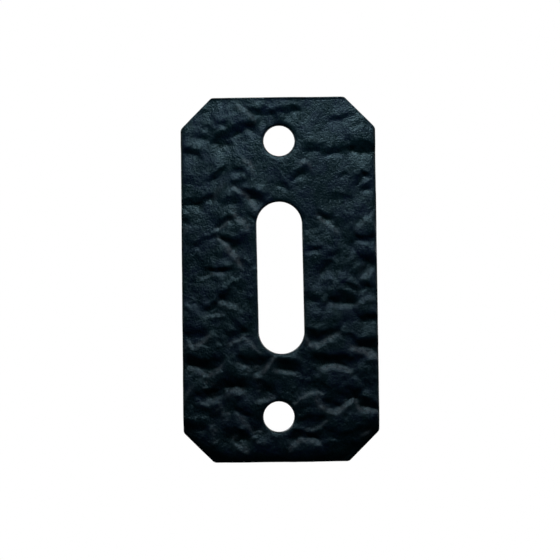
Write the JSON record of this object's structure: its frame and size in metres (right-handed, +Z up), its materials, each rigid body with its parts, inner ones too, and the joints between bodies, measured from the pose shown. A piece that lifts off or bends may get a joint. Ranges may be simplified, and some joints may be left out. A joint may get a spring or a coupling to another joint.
{
  "type": "door chain guard slotted keeper plate",
  "caption": "Flat iron plate with clipped corners, a long upright slot that takes the end of a door chain, and a screw hole above and below the slot.",
  "frame": {"origin": "midway between the two screw holes, on the flat back face that lies on the door", "axes": "+Z upwards from the lower screw hole to the upper one; +X to the right seen from the front; the rough front faces -Y and the flat back +Y"},
  "size_m": [0.0407, 0.003, 0.0754],
  "materials": {
    "black_coated_iron": "satin black coat over rough hammered iron"
  },
  "bodies": {
    "root": {"slotted_plate": "black_coated_iron"}
  },
  "joints": []
}
